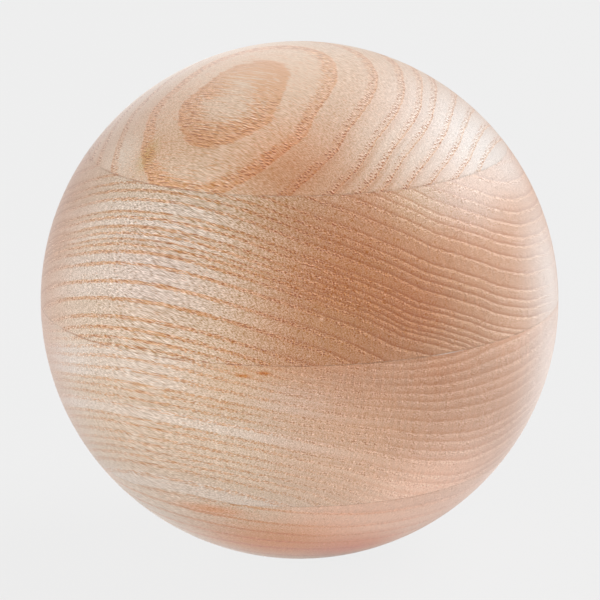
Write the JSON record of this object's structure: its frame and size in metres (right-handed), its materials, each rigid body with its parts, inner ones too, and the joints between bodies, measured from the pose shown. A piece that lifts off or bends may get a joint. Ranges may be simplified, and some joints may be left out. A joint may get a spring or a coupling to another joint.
{
  "type": "wooden ball",
  "caption": "Solid turned ball of pale ring-porous wood, glued up from flat boards, with end grain on two sides and a satin finish.",
  "frame": {"origin": "centre of the ball", "axes": "+Z across the boards, at right angles to the glue joints, towards the outer board named top_board; +X along the grain, so the two end-grain sides face +X and -X; +Y across the grain"},
  "size_m": [0.08, 0.08, 0.08],
  "materials": {
    "satin_ash": "satin"
  },
  "bodies": {
    "root": {"top_board": "satin_ash", "upper_middle_board": "satin_ash", "lower_middle_board": "satin_ash", "bottom_board": "satin_ash"}
  },
  "joints": []
}
